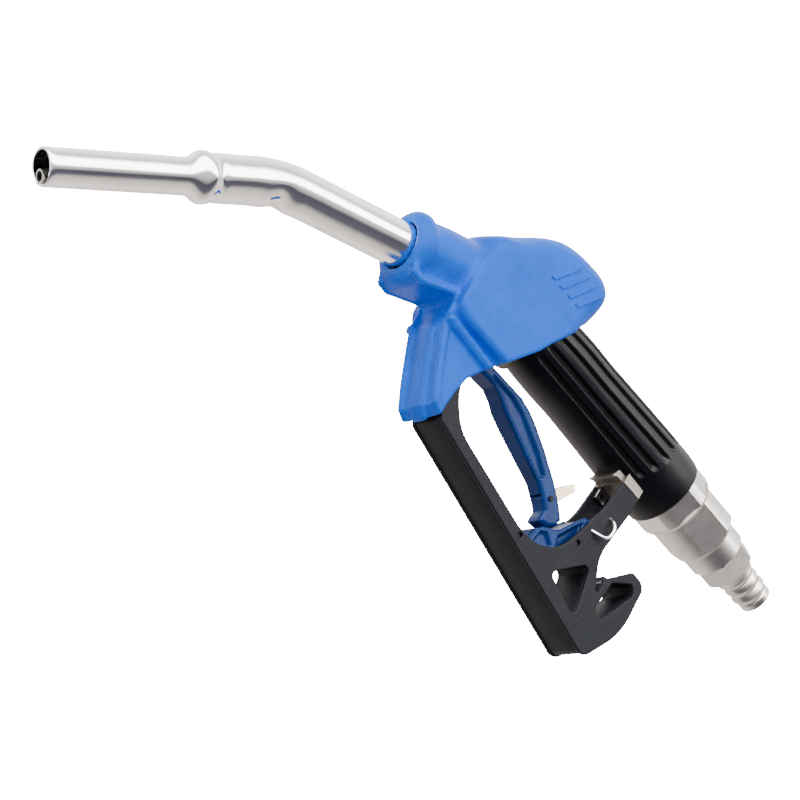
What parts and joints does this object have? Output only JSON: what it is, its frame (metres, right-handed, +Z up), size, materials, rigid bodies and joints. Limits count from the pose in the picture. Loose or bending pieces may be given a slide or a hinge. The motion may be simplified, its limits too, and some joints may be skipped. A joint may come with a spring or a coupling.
{
  "type": "fuel nozzle",
  "caption": "Automatic shut-off fuel nozzle with bent spout, flexible scuff cover, ribbed grip, trigger lever, guard with hanging hook and barbed swivel tail.",
  "frame": {"origin": "centre of the hose tail's plain end land, on the handle's axis", "axes": "+X along the handle towards the hose, the spout points to -X and down, +Z up with the guard below the handle, Y across the nozzle"},
  "size_m": [0.4869, 0.0492, 0.2167],
  "materials": {
    "cast_aluminium": "bead-blasted casting",
    "black_grip": "satin moulded grip",
    "blue_cover": "satin flexible vinyl",
    "polished_steel": "polished tube",
    "steel": "plain machined",
    "spring_steel": "drawn wire",
    "seal_rubber": "moulded seal",
    "white_plastic": "moulded acetal",
    "black_guard": "fine matte black",
    "blue_lever": "satin moulded",
    "bare_latch": "warm bare metal",
    "satin_steel": "satin turned"
  },
  "bodies": {
    "housing": {"nozzle_body": "cast_aluminium", "grip_sleeve": "black_grip", "scuff_cover": "blue_cover", "spout_tube": "polished_steel", "sensing_tube": "steel", "spout_clamp_sleeve": "cast_aluminium", "spout_nut": "cast_aluminium", "drip_ring": "seal_rubber", "check_seat": "cast_aluminium", "check_spring_stop": "cast_aluminium", "check_spring": "spring_steel", "main_seat": "cast_aluminium", "main_spring": "spring_steel", "valve_cap": "cast_aluminium", "gland_packing": "seal_rubber", "gland_nut": "cast_aluminium", "plunger_nut": "cast_aluminium", "plunger_spring": "spring_steel", "diaphragm": "seal_rubber", "bonnet_cap": "cast_aluminium", "diaphragm_spring": "spring_steel", "bonnet_screws": "steel", "lever_guard": "black_guard", "guard_screws": "steel", "lever_pivot_pin": "steel", "hold_open_rack": "blue_lever", "rack_pins": "steel", "rear_lug": "cast_aluminium", "square_nut": "steel", "wire_loop": "polished_steel", "inlet_ring": "satin_steel", "swivel_body": "satin_steel", "inlet_strainer": "steel"},
    "main_valve": {"main_poppet": "seal_rubber", "main_stem": "steel"},
    "shutoff_plunger": {"plunger": "steel", "latch_rollers": "steel"},
    "latch": {"latch_pin": "steel"},
    "trigger": {"lever": "blue_lever", "latch_rivet": "steel"},
    "hold_open": {"hold_open_latch": "bare_latch"},
    "check_valve": {"check_poppet": "white_plastic"},
    "tail": {"hose_tail": "satin_steel"}
  },
  "joints": [
    {"name": "lever_hinge", "type": "hinge", "parent": "housing", "child": "trigger", "pos_m": [-0.2622, 0, -0.043], "axis": [0, -1, 0], "range_deg": [0, 10.5], "stiffness_Nm_per_rad": 0.6, "springref_deg": -17.19},
    {"name": "valve_lift", "type": "slide", "parent": "housing", "child": "main_valve", "axis": [0.3746, 0, 0.9272], "range_m": [0, 0.0063], "deforming": ["main_spring"]},
    {"name": "plunger_trip", "type": "slide", "parent": "housing", "child": "shutoff_plunger", "axis": [-0.3746, 0, -0.9272], "range_m": [0, 0.004], "stiffness_N_per_m": 250, "springref_m": -0.006, "deforming": ["plunger_spring"]},
    {"name": "latch_lift", "type": "slide", "parent": "housing", "child": "latch", "axis": [0.3746, 0, 0.9272], "range_m": [0, 0.0025], "stiffness_N_per_m": 200, "springref_m": -0.003, "deforming": ["diaphragm_spring"]},
    {"name": "hold_open_hinge", "type": "hinge", "parent": "trigger", "child": "hold_open", "pos_m": [-0.1572, 0, -0.0672], "axis": [0, 1, 0], "range_deg": [0, 15], "stiffness_Nm_per_rad": 0.02, "springref_deg": -22.92},
    {"name": "check_slide", "type": "slide", "parent": "housing", "child": "check_valve", "axis": [-0.9135, 0, -0.4067], "range_m": [0, 0.004], "stiffness_N_per_m": 60, "springref_m": -0.004, "deforming": ["check_spring"]},
    {"name": "tail_swivel", "type": "hinge", "parent": "housing", "child": "tail", "pos_m": [0, 0, 0], "axis": [1, 0, 0], "continuous": true}
  ],
  "couplings": [
    {"joint": "valve_lift", "follows": "lever_hinge", "m_per_rad": 0.034}
  ]
}
